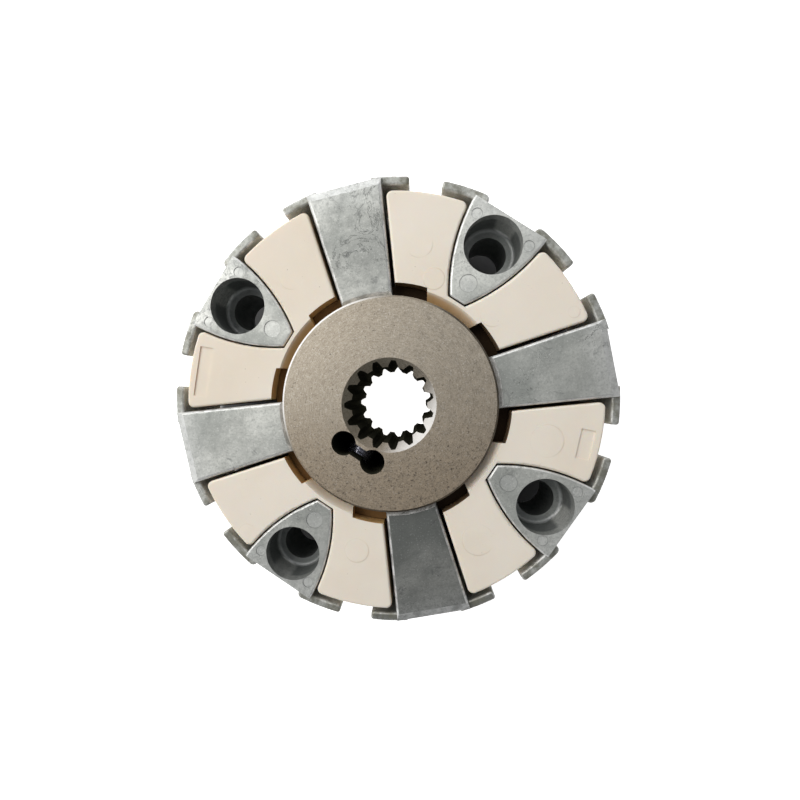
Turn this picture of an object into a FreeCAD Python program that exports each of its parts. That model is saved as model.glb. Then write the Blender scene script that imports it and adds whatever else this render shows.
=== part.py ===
import FreeCAD, Part

import math
import os

# Flexible shaft coupling. All sizes in millimetres.
# The origin is on the shaft axis in the plane of the hub's rear face.
# +Z runs along the shaft towards the front face.
# Radial claws sit at 0, 90, 180 and 270 degrees, axial claws half way between.

CLAWS_PER_SIDE = 4
AXIAL_CLAW_START_DEG = 45.0

# Length along the shaft
hub_length = 85.0
hub_front_step = 5.0
claw_length = 62.0
claw_front_z = hub_length - hub_front_step
claw_rear_z = claw_front_z - claw_length
claw_mid_z = (claw_front_z + claw_rear_z) / 2

# Hub
hub_radius = 62.5
hub_edge_chamfer = 1.2

# Spline in the hub: 15 teeth, 30 degree pressure angle, 8 teeth per inch of pitch diameter
spline_teeth = 15
spline_module = 25.4 / 8
spline_pressure_deg = 30.0
spline_pitch_radius = spline_teeth * spline_module / 2
spline_tip_radius = spline_pitch_radius - 0.5 * spline_module
spline_root_radius = spline_pitch_radius + 0.675 * spline_module
spline_mouth_radius = spline_root_radius + 1.4
spline_mouth_depth = spline_mouth_radius - spline_tip_radius

# Clamp: a thin tongue of the hub, freed by two drilled holes and a slot, is pressed on the shaft
clamp_angle_deg = 225.0
clamp_slot_radius = 32.8
clamp_slot_width = 7.0
clamp_hole_radius = 7.2
clamp_hole_offset = 10.0
clamp_screw_radius = 8.0
clamp_screw_length = 30.0
clamp_screw_depth = 24.0
clamp_screw_z = hub_length - clamp_screw_depth
clamp_screw_socket = 8.0
clamp_screw_socket_depth = 8.0
clamp_screw_tip_chamfer = 1.5
thread_clearance = 0.05
seat_clearance = 0.02
hub_seat_clearance = 0.1

# Bolt circle of the flange that the axial claws are bolted to
flange_bolt_circle_radius = 107.5
flange_bolt_clearance_radius = 11.25

# Elastic element
element_bore_gap = 1.5
element_bore_radius = hub_radius + element_bore_gap
bridge_thickness = 6.6
bridge_outer_radius = element_bore_radius + bridge_thickness
bridge_recess = 12.0
web_chamfer_width = 4.6
web_chamfer_depth = 5.0
block_beyond_bolts = 14.8
block_outer_radius = flange_bolt_circle_radius + block_beyond_bolts
block_corner_radius = 3.5
block_edge_radius = 1.4
notch_inner_half_deg = 32.0
notch_outer_half_deg = 30.0
gap_at_radial_claw = 2.1
gap_at_axial_claw = 0.9
recess_depth = 0.8
recess_width = 8.0
recess_edge_gap = 4.5
recess_angles_deg = [-23.2, 158.0]
recess_lengths = [17.0, 30.0]

# Screws that hold the radial claws
claw_screw_radius = 8.0
claw_screw_hole_radius = claw_screw_radius + 0.8
claw_screw_head_radius = 1.5 * claw_screw_radius
claw_screw_head_height = 2 * claw_screw_radius
claw_screw_head_gap = 1.0
claw_screw_sunk = 12.6
claw_screw_length = 60.0
claw_screw_socket = 14.0
claw_screw_socket_depth = 8.0
claw_screw_edge = 0.8
tapped_hole_extra = 4.0

# Radial claws, each screwed on the hub
radial_claw_beyond_block = 6.3
radial_claw_outer = block_outer_radius + radial_claw_beyond_block
radial_claw_outer_half = 22.2
radial_claw_inner_half = 15.1
radial_wing_end_deg = 17.0
radial_claw_boss_wall = 4.7
radial_claw_boss_radius = claw_screw_hole_radius + radial_claw_boss_wall
radial_claw_end_chamfer = 4.5
radial_claw_end_drop = 1.6
radial_claw_lip_chamfer = 3.0
radial_claw_lip_drop = 2.2
claw_screw_seat = radial_claw_outer - claw_screw_sunk - claw_screw_head_height
groove_clearance = 0.7
boss_clearance = 0.5

# Axial claws, each bolted to the flange of the other shaft
axial_claw_beyond_block = 3.1
axial_claw_outer = block_outer_radius + axial_claw_beyond_block
axial_claw_tip = bridge_outer_radius + groove_clearance
axial_claw_tip_half = 4.9
axial_flank_bulge = 3.56
axial_claw_corner_x = block_outer_radius - 0.3
axial_claw_corner_half = 23.6
axial_wing_end_deg = 19.5
axial_wing_shoulder_deg = 7.0
axial_wing_shoulder_radius = 3.0
counterbore_seat = 2.75
counterbore_fillet = 2.5
counterbore_radius = flange_bolt_clearance_radius + counterbore_seat + counterbore_fillet
counterbore_depth = 24.0
ejector_mark_radius = 5.0
ejector_mark_inset = 25.0
ejector_pip_radius = 3.0
ejector_pip_offset = 9.8
ejector_pip_half = 17.2
mark_depth = 0.35

# Wings of both kinds of claw, lying over the outer faces of the blocks
wing_gap = 4.4
wing_inner_radius = block_outer_radius + wing_gap
wing_thickness = 5.3
wing_outer_radius = wing_inner_radius + wing_thickness
wing_end_radius = 1.8
wing_rim_radius = 1.5
wing_front_step = 4.0
wing_root_inset = 6.0
wing_root_cover = 1.0
wing_root_inner_radius = block_outer_radius - 2.0
radial_claw_edge_radius = 2.0
axial_claw_edge_radius = 1.4


def vec(x, y, z=0.0):
    return FreeCAD.Vector(x, y, z)


def polar(radius, angle_deg, z=0.0):
    angle = math.radians(angle_deg)
    return vec(radius * math.cos(angle), radius * math.sin(angle), z)


def turned(shape, angle_deg):
    copy = shape.copy()
    copy.rotate(vec(0, 0), vec(0, 0, 1), angle_deg)
    return copy


def prism(edges, z_low, z_high):
    """Extrude a closed outline, drawn at height zero, between two heights."""
    face = Part.Face(Part.Wire(edges))
    solid = face.extrude(vec(0, 0, z_high - z_low))
    solid.translate(vec(0, 0, z_low))
    return solid


def line(start, end):
    return Part.LineSegment(start, end).toShape()


def arc(start, middle, end):
    return Part.Arc(start, middle, end).toShape()


def polygon(points):
    return [line(a, b) for a, b in zip(points, points[1:] + points[:1])]


def disc(radius, z_low, z_high, x=0.0, y=0.0):
    return Part.makeCylinder(radius, z_high - z_low, vec(x, y, z_low))


def radial_rod(radius, start, end, z):
    """A cylinder lying along +X from one distance from the shaft axis to another."""
    return Part.makeCylinder(radius, end - start, vec(start, 0, z), vec(1, 0, 0))


def hex_prism(across_flats, depth):
    """A hexagon prism along +X, starting at the origin."""
    corner = across_flats / math.sqrt(3)
    points = [vec(0, corner * math.cos(math.radians(60 * i)), corner * math.sin(math.radians(60 * i)))
              for i in range(6)]
    return Part.Face(Part.Wire(polygon(points))).extrude(vec(depth, 0, 0))


def fillet_where(shape, radius, wanted):
    """Round every edge that the test picks."""
    edges = [edge for edge in shape.Edges if wanted(edge)]
    return shape.makeFillet(radius, edges)


def edge_middle(edge):
    first, last = edge.ParameterRange
    return edge.valueAt((first + last) / 2)


def lies_at_height(edge, z):
    return all(abs(vertex.Point.z - z) < 0.001 for vertex in edge.Vertexes)


def is_upright(edge):
    ends = [vertex.Point for vertex in edge.Vertexes]
    return len(ends) == 2 and math.hypot(ends[0].x - ends[1].x, ends[0].y - ends[1].y) < 0.001


def upright_near(edge, x, half_width):
    """True for an edge along the shaft that passes close to (x, +half_width) or (x, -half_width)."""
    middle = edge_middle(edge)
    return is_upright(edge) and abs(middle.x - x) < 0.05 and abs(abs(middle.y) - half_width) < 0.05


# Hub

def involute(angle):
    return math.tan(angle) - angle


def space_half_angle_deg(radius):
    """Half the angle of the gap between two spline teeth at a radius."""
    pressure = math.radians(spline_pressure_deg)
    base_radius = spline_pitch_radius * math.cos(pressure)
    here = math.acos(base_radius / radius)
    return 90.0 / spline_teeth + math.degrees(involute(pressure) - involute(here))


def spline_outline():
    step = 360.0 / spline_teeth
    flank_mid_radius = (spline_tip_radius + spline_root_radius) / 2
    tip_half = space_half_angle_deg(spline_tip_radius)
    mid_half = space_half_angle_deg(flank_mid_radius)
    root_half = space_half_angle_deg(spline_root_radius)
    edges = []
    for i in range(spline_teeth):
        middle = i * step
        rise = [polar(spline_tip_radius, middle - tip_half),
                polar(flank_mid_radius, middle - mid_half),
                polar(spline_root_radius, middle - root_half)]
        fall = [polar(spline_root_radius, middle + root_half),
                polar(flank_mid_radius, middle + mid_half),
                polar(spline_tip_radius, middle + tip_half)]
        next_tip = polar(spline_tip_radius, middle + step - tip_half)
        edges.append(arc(*rise))
        edges.append(arc(rise[2], polar(spline_root_radius, middle), fall[0]))
        edges.append(arc(*fall))
        edges.append(arc(fall[2], polar(spline_tip_radius, middle + step / 2), next_tip))
    return edges


def bore_mouths():
    """The conical lead-ins at both ends of the splined bore."""
    front = Part.makeCone(spline_tip_radius, spline_mouth_radius, spline_mouth_depth,
                          vec(0, 0, hub_length - spline_mouth_depth))
    rear = Part.makeCone(spline_mouth_radius, spline_tip_radius, spline_mouth_depth)
    return [front, rear]


def clamp_cuts():
    """Two drilled holes joined by a slot, and the tapped hole of the clamp screw."""
    cuts = [disc(clamp_hole_radius, 0, hub_length, clamp_slot_radius, side * clamp_hole_offset)
            for side in (-1, 1)]
    cuts.append(Part.makeBox(clamp_slot_width, 2 * clamp_hole_offset, hub_length,
                             vec(clamp_slot_radius - clamp_slot_width / 2, -clamp_hole_offset, 0)))
    cuts.append(radial_rod(clamp_screw_radius + thread_clearance, clamp_slot_radius, hub_radius + 1,
                           clamp_screw_z))
    return [turned(cut, clamp_angle_deg) for cut in cuts]


def claw_screw_end():
    return claw_screw_seat - claw_screw_length


def make_hub():
    blank = disc(hub_radius, 0, hub_length)
    rims = [edge for edge in blank.Edges if lies_at_height(edge, 0) or lies_at_height(edge, hub_length)]
    blank = blank.makeChamfer(hub_edge_chamfer, rims)
    cuts = [prism(spline_outline(), 0, hub_length)] + bore_mouths() + clamp_cuts()
    tapped = radial_rod(claw_screw_radius + thread_clearance, claw_screw_end() - tapped_hole_extra,
                        hub_radius + 1, claw_mid_z)
    cuts += [turned(tapped, angle) for angle in radial_claw_angles()]
    return blank.cut(cuts)


def make_clamp_screw():
    """A headless screw that crosses the slot and presses on the tongue beside the bore."""
    tip = clamp_slot_radius - clamp_slot_width / 2 + seat_clearance
    end = tip + clamp_screw_length
    body = radial_rod(clamp_screw_radius, tip, end, clamp_screw_z)
    ends = [edge for edge in body.Edges if len(edge.Vertexes) == 1 and edge.Length > clamp_screw_radius]
    ends = [edge for edge in ends if edge.Curve.TypeId == "Part::GeomCircle"]
    body = body.makeChamfer(clamp_screw_tip_chamfer, ends)
    socket = hex_prism(clamp_screw_socket, clamp_screw_socket_depth)
    socket.translate(vec(end - clamp_screw_socket_depth, 0, clamp_screw_z))
    return turned(body.cut(socket), clamp_angle_deg)


# Radial claws

def radial_claw_angles():
    return [i * 360.0 / CLAWS_PER_SIDE for i in range(CLAWS_PER_SIDE)]


def axial_claw_angles():
    return [AXIAL_CLAW_START_DEG + angle for angle in radial_claw_angles()]


def radial_claw_half(x, gap=0.0):
    """Half width of a radial claw at a distance from the shaft axis, with a gap beside it."""
    slope = (radial_claw_outer_half - radial_claw_inner_half) / (radial_claw_outer - hub_radius)
    return radial_claw_inner_half + slope * (x - hub_radius) + gap * math.hypot(1, slope)


def radial_wedge(gap, x_start, x_end, z_low, z_high):
    """The wedge of a radial claw, widened by a gap."""
    start_half = radial_claw_half(x_start, gap)
    end_half = radial_claw_half(x_end, gap)
    points = [vec(x_start, -start_half), vec(x_end, -end_half), vec(x_end, end_half),
              vec(x_start, start_half)]
    return prism(polygon(points), z_low, z_high)


def wing_bar(end_deg, start_deg, claw_half, side):
    """One wing: a curved bar with a rounded free end and a thicker root inside the claw."""
    z_low = claw_rear_z + wing_front_step
    z_high = claw_front_z - wing_front_step
    first = side * start_deg
    last = side * end_deg
    root_end = side * math.degrees(math.asin((claw_half - wing_root_cover) / wing_outer_radius))
    edges = [line(polar(wing_root_inner_radius, first), polar(wing_outer_radius, first)),
             arc(polar(wing_outer_radius, first), polar(wing_outer_radius, root_end),
                 polar(wing_outer_radius, last)),
             line(polar(wing_outer_radius, last), polar(wing_inner_radius, last)),
             arc(polar(wing_inner_radius, last), polar(wing_inner_radius, (last + root_end) / 2),
                 polar(wing_inner_radius, root_end)),
             line(polar(wing_inner_radius, root_end), polar(wing_root_inner_radius, root_end)),
             line(polar(wing_root_inner_radius, root_end), polar(wing_root_inner_radius, first))]
    wing = prism(edges, z_low, z_high)
    end = polar(wing_inner_radius + wing_thickness / 2, last)
    return fillet_where(wing, wing_end_radius,
                        lambda edge: is_upright(edge) and edge_middle(edge).distanceToPoint(
                            vec(end.x, end.y, claw_mid_z)) < wing_thickness)


def rounded_rims(wing):
    """Round the outlines of a wing's front and rear faces."""
    z_low = claw_rear_z + wing_front_step
    z_high = claw_front_z - wing_front_step
    return fillet_where(wing, wing_rim_radius,
                        lambda edge: lies_at_height(edge, z_low) or lies_at_height(edge, z_high))


def radial_claw_body():
    body = radial_wedge(0, hub_radius - 1, radial_claw_outer, claw_rear_z, claw_front_z)
    for z, towards in ((claw_front_z, -1), (claw_rear_z, 1)):
        points = [vec(radial_claw_outer - radial_claw_end_chamfer, 0, z),
                  vec(radial_claw_outer + 1, 0, z),
                  vec(radial_claw_outer + 1, 0, z + towards * radial_claw_end_drop),
                  vec(radial_claw_outer, 0, z + towards * radial_claw_end_drop)]
        wedge = Part.Face(Part.Wire(polygon(points))).extrude(vec(0, 4 * radial_claw_outer_half, 0))
        wedge.translate(vec(0, -2 * radial_claw_outer_half, 0))
        body = body.cut(wedge)
    long_edge = radial_claw_outer - hub_radius - 2 * radial_claw_end_chamfer
    return fillet_where(body, radial_claw_edge_radius,
                        lambda edge: edge.Length > long_edge
                        and abs(edge_middle(edge).y) > radial_claw_inner_half
                        and not is_upright(edge))


def bridge_space():
    """Room in a radial claw for the bridge of the elastic element that passes under it."""
    outer = bridge_outer_radius + groove_clearance
    z_low = claw_rear_z + bridge_recess - groove_clearance
    z_high = claw_front_z - bridge_recess + groove_clearance
    space = disc(outer, z_low, z_high)
    boss = radial_rod(radial_claw_boss_radius, 0, outer + 1, claw_mid_z)
    return space.cut(boss)


def lip_chamfers():
    """Cones that take the corner off a radial claw's inner end, at both faces."""
    wide = hub_radius + radial_claw_lip_chamfer
    front = Part.makeCone(hub_radius, wide, radial_claw_lip_drop,
                          vec(0, 0, claw_front_z - radial_claw_lip_drop))
    rear = Part.makeCone(wide, hub_radius, radial_claw_lip_drop, vec(0, 0, claw_rear_z))
    return [front, rear]


def make_radial_claw():
    claw_half = radial_claw_half(block_outer_radius)
    wings = [wing_bar(radial_wing_end_deg, radial_wing_root_deg(), claw_half, side) for side in (-1, 1)]
    wings = [rounded_rims(wing) for wing in wings]
    body = radial_claw_body().fuse(wings).removeSplitter()
    seat = disc(hub_radius + hub_seat_clearance, claw_rear_z - 1, claw_front_z + 1)
    shank = radial_rod(claw_screw_hole_radius, hub_radius - 2, claw_screw_seat, claw_mid_z)
    head = radial_rod(claw_screw_head_radius + claw_screw_head_gap, claw_screw_seat,
                      radial_claw_outer + 2, claw_mid_z)
    return body.cut([seat, bridge_space(), shank, head] + lip_chamfers())


def radial_wing_root_deg():
    """Angle inside the claw's side where a wing starts, so that the two are joined."""
    return math.degrees(math.atan2(radial_claw_outer_half - wing_root_inset, radial_claw_outer))


def make_radial_claw_screw():
    head_end = claw_screw_seat + claw_screw_head_height
    head = radial_rod(claw_screw_head_radius, claw_screw_seat + seat_clearance, head_end, claw_mid_z)
    rim = [edge for edge in head.Edges
           if edge.Curve.TypeId == "Part::GeomCircle" and abs(edge.Curve.Center.x - head_end) < 0.001]
    head = head.makeChamfer(claw_screw_edge, rim)
    shank = radial_rod(claw_screw_radius, claw_screw_end(), claw_screw_seat + 1, claw_mid_z)
    tip = [edge for edge in shank.Edges
           if edge.Curve.TypeId == "Part::GeomCircle" and edge.Curve.Center.x < claw_screw_end() + 0.1]
    shank = shank.makeChamfer(clamp_screw_tip_chamfer, tip)
    socket = hex_prism(claw_screw_socket, claw_screw_socket_depth)
    socket.translate(vec(head_end - claw_screw_socket_depth, 0, claw_mid_z))
    return head.fuse(shank).cut(socket)


# Axial claws

def flank_circle():
    """Centre and radius of the circle that an axial claw's flank follows."""
    tip = vec(axial_claw_tip, axial_claw_tip_half)
    corner = vec(axial_claw_corner_x, axial_claw_corner_half)
    outward = vec(tip.y - corner.y, corner.x - tip.x).normalize()
    bulge = (tip + corner) * 0.5 + outward * axial_flank_bulge
    circle = arc(tip, bulge, corner).Curve
    return circle.Center, circle.Radius


def axial_outline(gap, x_end):
    """Flat tip and two bulging flanks, widened by a gap, closed at a distance from the axis."""
    centre, flank_radius = flank_circle()
    middle_x = (axial_claw_tip + axial_claw_corner_x) / 2
    tip, bulge, corner = [vec(x, centre.y + math.sqrt((flank_radius + gap) ** 2 - (x - centre.x) ** 2))
                          for x in (axial_claw_tip - gap, middle_x, axial_claw_corner_x)]
    far = vec(x_end, corner.y)
    tip_low, bulge_low, corner_low, far_low = [vec(p.x, -p.y) for p in (tip, bulge, corner, far)]
    return [line(tip_low, tip), arc(tip, bulge, corner), line(corner, far), line(far, far_low),
            line(far_low, corner_low), arc(corner_low, bulge_low, tip_low)]


def axial_claw_body():
    body = prism(axial_outline(0, axial_claw_outer), claw_rear_z, claw_front_z)
    body = fillet_where(body, axial_claw_edge_radius,
                        lambda edge: upright_near(edge, axial_claw_tip, axial_claw_tip_half))
    return fillet_where(body, axial_claw_edge_radius,
                        lambda edge: lies_at_height(edge, claw_front_z)
                        and edge_middle(edge).x < axial_claw_corner_x)


def flange_bolt_hole():
    """Through hole, counterbore and the rounded corner of the counterbore's floor."""
    floor_z = claw_front_z - counterbore_depth
    round_start = vec(counterbore_radius - counterbore_fillet, 0, floor_z)
    round_end = vec(counterbore_radius, 0, floor_z + counterbore_fillet)
    centre = vec(round_start.x, 0, round_end.z)
    slant = counterbore_fillet * math.sqrt(0.5)
    round_middle = vec(centre.x + slant, 0, centre.z - slant)
    hole_low = vec(flange_bolt_clearance_radius, 0, claw_rear_z - 1)
    hole_high = vec(flange_bolt_clearance_radius, 0, floor_z)
    mouth = vec(counterbore_radius, 0, claw_front_z + 1)
    edges = [line(vec(0, 0, hole_low.z), hole_low), line(hole_low, hole_high),
             line(hole_high, round_start), arc(round_start, round_middle, round_end),
             line(round_end, mouth), line(mouth, vec(0, 0, mouth.z)),
             line(vec(0, 0, mouth.z), vec(0, 0, hole_low.z))]
    hole = Part.Face(Part.Wire(edges)).revolve(vec(0, 0), vec(0, 0, 1), 360)
    hole.translate(vec(flange_bolt_circle_radius, 0, 0))
    return hole


def ejector_marks():
    """Shallow round marks that the mould's pins leave on the front face."""
    z_low = claw_front_z - mark_depth
    mark_x = flange_bolt_circle_radius - ejector_mark_inset
    pip_x = flange_bolt_circle_radius + ejector_pip_offset
    marks = [disc(ejector_mark_radius, z_low, claw_front_z + 1, mark_x)]
    marks += [disc(ejector_pip_radius, z_low, claw_front_z + 1, pip_x, side * ejector_pip_half)
              for side in (-1, 1)]
    return marks


def make_axial_claw():
    wings = [wing_bar(axial_wing_end_deg, axial_wing_shoulder_deg, axial_claw_corner_half, side)
             for side in (-1, 1)]
    wings = [fillet_where(wing, axial_wing_shoulder_radius,
                          lambda edge: is_upright(edge)
                          and abs(math.hypot(edge_middle(edge).x, edge_middle(edge).y) - wing_outer_radius)
                          < 0.01 and abs(edge_middle(edge).y) < axial_claw_corner_half)
             for wing in wings]
    wings = [rounded_rims(wing) for wing in wings]
    body = axial_claw_body().fuse(wings).removeSplitter()
    return body.cut([flange_bolt_hole()] + ejector_marks())


# Elastic element

def block_ring():
    ring = disc(block_outer_radius, claw_rear_z, claw_front_z)
    return ring.cut(disc(element_bore_radius, claw_rear_z - 1, claw_front_z + 1))


def notch(z_low, z_high):
    """The cut-back of the ring beside a radial claw, with slanted ends."""
    inner = element_bore_radius - 2
    slope = (notch_inner_half_deg - notch_outer_half_deg) / (bridge_outer_radius - element_bore_radius)
    inner_half = notch_inner_half_deg + slope * (element_bore_radius - inner)
    edges = [arc(polar(inner, -inner_half), polar(inner, 0), polar(inner, inner_half)),
             line(polar(inner, inner_half), polar(bridge_outer_radius, notch_outer_half_deg)),
             arc(polar(bridge_outer_radius, notch_outer_half_deg), polar(bridge_outer_radius, 0),
                 polar(bridge_outer_radius, -notch_outer_half_deg)),
             line(polar(bridge_outer_radius, -notch_outer_half_deg), polar(inner, -inner_half))]
    return prism(edges, z_low, z_high)


def radial_claw_pocket():
    """The wedge between two blocks, outside the bridge that joins them."""
    wedge = radial_wedge(gap_at_radial_claw, hub_radius - 4, block_outer_radius + 3,
                         claw_rear_z - 1, claw_front_z + 1)
    return wedge.cut(disc(bridge_outer_radius, claw_rear_z - 2, claw_front_z + 2))


def bridge_cuts():
    """The notches over both ends of a bridge, and the hole for the claw's boss."""
    front = notch(claw_front_z - bridge_recess, claw_front_z + 1)
    rear = notch(claw_rear_z - 1, claw_rear_z + bridge_recess)
    boss = radial_rod(radial_claw_boss_radius + boss_clearance, element_bore_radius - 4,
                      bridge_outer_radius + 1, claw_mid_z)
    return [front, rear, boss]


def web_chamfers():
    """Cones that widen the element's bore towards both faces."""
    wide = element_bore_radius + web_chamfer_width
    front = Part.makeCone(element_bore_radius, wide, web_chamfer_depth,
                          vec(0, 0, claw_front_z - web_chamfer_depth))
    rear = Part.makeCone(wide, element_bore_radius, web_chamfer_depth, vec(0, 0, claw_rear_z))
    return [front, rear]


def axial_claw_pocket():
    return prism(axial_outline(gap_at_axial_claw, block_outer_radius + 3), claw_rear_z - 1, claw_front_z + 1)


def block_recess(angle_deg, length):
    """A shallow rectangular panel near the outer end of a block's front face."""
    inner = block_outer_radius - recess_edge_gap - recess_width
    box = Part.makeBox(recess_width, length, recess_depth + 1,
                       vec(inner, -length / 2, claw_front_z - recess_depth))
    return turned(box, angle_deg)


def on_block_end(edge):
    middle = edge_middle(edge)
    return is_upright(edge) and abs(math.hypot(middle.x, middle.y) - block_outer_radius) < 0.05


def on_block_rim(edge):
    """True for the outline of a block's front or rear face, away from the bridges."""
    middle = edge_middle(edge)
    on_face = lies_at_height(edge, claw_front_z) or lies_at_height(edge, claw_rear_z)
    return on_face and math.hypot(middle.x, middle.y) > bridge_outer_radius + 1


def make_elastic_element():
    pockets = [turned(radial_claw_pocket(), angle) for angle in radial_claw_angles()]
    pockets += [turned(axial_claw_pocket(), angle) for angle in axial_claw_angles()]
    body = block_ring().cut(pockets)
    body = fillet_where(body, block_corner_radius, on_block_end)
    body = fillet_where(body, block_edge_radius, on_block_rim)
    cuts = web_chamfers()
    for angle in radial_claw_angles():
        cuts += [turned(cut, angle) for cut in bridge_cuts()]
    cuts += [block_recess(angle, length) for angle, length in zip(recess_angles_deg, recess_lengths)]
    return body.cut(cuts)


def write(shape, name):
    solids = shape.Solids
    print(name, len(solids), "solid", shape.isValid(), round(shape.Volume))
    solids[0].exportStep("parts/" + name + ".step")


os.makedirs("parts", exist_ok=True)
write(make_hub(), "hub")
write(make_elastic_element(), "elastic_element")
write(make_clamp_screw(), "clamp_screw")
radial_claw = make_radial_claw()
radial_claw_screw = make_radial_claw_screw()
axial_claw = make_axial_claw()
for number, angle in enumerate(radial_claw_angles(), start=1):
    write(turned(radial_claw, angle), "radial_claw_%d" % number)
    write(turned(radial_claw_screw, angle), "radial_claw_screw_%d" % number)
for number, angle in enumerate(axial_claw_angles(), start=1):
    write(turned(axial_claw, angle), "axial_claw_%d" % number)
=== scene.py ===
import math

import bmesh
import bpy
from mathutils import Matrix, Vector


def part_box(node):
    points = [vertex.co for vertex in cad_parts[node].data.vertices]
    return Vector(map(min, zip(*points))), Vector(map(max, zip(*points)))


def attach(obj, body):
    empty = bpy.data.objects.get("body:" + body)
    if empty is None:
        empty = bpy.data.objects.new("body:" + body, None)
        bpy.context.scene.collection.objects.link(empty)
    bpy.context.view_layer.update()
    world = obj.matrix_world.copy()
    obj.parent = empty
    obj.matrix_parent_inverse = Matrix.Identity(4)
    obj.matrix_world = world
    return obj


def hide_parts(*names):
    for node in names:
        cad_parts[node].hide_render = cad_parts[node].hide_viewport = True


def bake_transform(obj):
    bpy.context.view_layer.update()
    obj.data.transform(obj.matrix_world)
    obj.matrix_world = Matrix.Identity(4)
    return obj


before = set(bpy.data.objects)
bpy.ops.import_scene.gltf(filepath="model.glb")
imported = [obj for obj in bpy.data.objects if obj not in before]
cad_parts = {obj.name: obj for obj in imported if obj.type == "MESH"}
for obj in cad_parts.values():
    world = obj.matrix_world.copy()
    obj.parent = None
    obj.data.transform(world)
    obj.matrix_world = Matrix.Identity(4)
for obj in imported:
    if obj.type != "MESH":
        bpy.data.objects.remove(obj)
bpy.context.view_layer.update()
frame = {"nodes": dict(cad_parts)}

# Everything is in metres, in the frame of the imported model: +Z is the shaft axis, towards the
# front face, and the hub stands on its rear face at z = 0.
#
# Names that end in _BAND hold two values: where a look starts to change and where the change
# is full. They are in metres, but a _FACING_BAND says how squarely a face looks along the
# shaft axis, from 0 for a wall to 1 for a flat face, and a _NORMAL_BAND is a sum of parts of
# the face's normal.

# Camera, worked out from the photograph's perspective
PHOTO_SIDE = 800
FOCAL_PIXELS = 472.8
CENTRE_PIXEL_X = 378.9
CENTRE_PIXEL_Y = 421.0
CAMERA_DISTANCE = 0.3558
CAMERA_SIDE_X = 0.0128
CAMERA_SIDE_Y = 0.0143
TILT_X_DEG = 3.61
TILT_Y_DEG = -4.91
ROLL_DEG = 12.05
SENSOR_MM = 36.0
CLIP_START = 0.01
CLIP_END = 20.0

# Places on the object that the looks refer to
CLAWS_PER_SIDE = 4
BLOCK_FACE_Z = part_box("elastic_element")[1].z
ELEMENT_RADIUS = 0.1223


def rgb(r, g, b):
    return (r, g, b, 1.0)


def shade(tone, color, limit=(1.0, 1.0, 1.0)):
    """A colour times a tone, with no channel above its limit."""
    return rgb(*[min(most, part * tone) for part, most in zip(color, limit)])


# Small helpers for building node materials

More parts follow.
